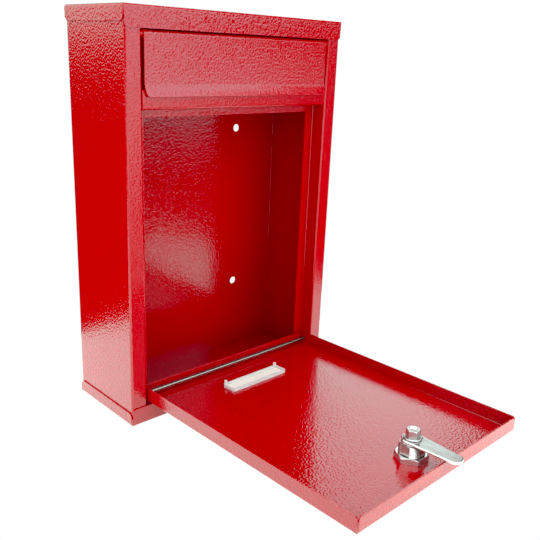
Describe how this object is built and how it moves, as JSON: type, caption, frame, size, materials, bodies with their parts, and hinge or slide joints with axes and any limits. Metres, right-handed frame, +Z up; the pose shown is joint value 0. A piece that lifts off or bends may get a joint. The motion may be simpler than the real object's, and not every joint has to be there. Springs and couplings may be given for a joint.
{
  "type": "donation box",
  "caption": "Red sheet-steel wall box with a top-hung letter flap and a bottom-hinged collecting door, shown open, that carries a cam lock and a name-card holder.",
  "frame": {"origin": "middle of the base tray's underside, halfway between the front and wall faces of the wrapped body", "axes": "+X to the right as seen from the front, +Y towards the wall, +Z up; the front faces -Y"},
  "size_m": [0.214, 0.3011, 0.31],
  "materials": {
    "red_paint": "gloss hammered powder coat",
    "bright_steel": "bright drawn rod",
    "zinc_plate": "bright zinc plate",
    "chrome_plate": "polished plate on die casting",
    "brass": "stamped",
    "clear_plastic": "clear moulded",
    "white_card": "blank card"
  },
  "bodies": {
    "box": {"body_shell": "red_paint", "roof_cap": "red_paint", "base_tray": "red_paint", "slot_crossbar": "red_paint", "flap_hinge_rod": "red_paint", "door_hinge_rod": "bright_steel"},
    "flap": {"letter_flap": "red_paint"},
    "door": {"door_panel": "red_paint", "label_holder": "clear_plastic", "label_card": "white_card", "lock_housing": "chrome_plate", "lock_nut": "zinc_plate"},
    "cam": {"lock_plug": "chrome_plate", "lock_wafers": "brass", "lock_springs": "bright_steel", "lock_stop_washer": "zinc_plate", "lock_cam": "zinc_plate", "cam_washer": "zinc_plate", "cam_screw": "zinc_plate"}
  },
  "joints": [
    {"name": "door_hinge", "type": "hinge", "parent": "box", "child": "door", "pos_m": [0, -0.0334, 0.0216], "axis": [1, 0, 0], "range_deg": [-89, 13]},
    {"name": "flap_hinge", "type": "hinge", "parent": "box", "child": "flap", "pos_m": [0, -0.03645, 0.29175], "axis": [-1, 0, 0], "range_deg": [0, 100]},
    {"name": "cam_turn", "type": "hinge", "parent": "door", "child": "cam", "pos_m": [0, -0.22387, 0.01932], "axis": [0, 0.0175, 0.9998], "range_deg": [0, 90]}
  ]
}
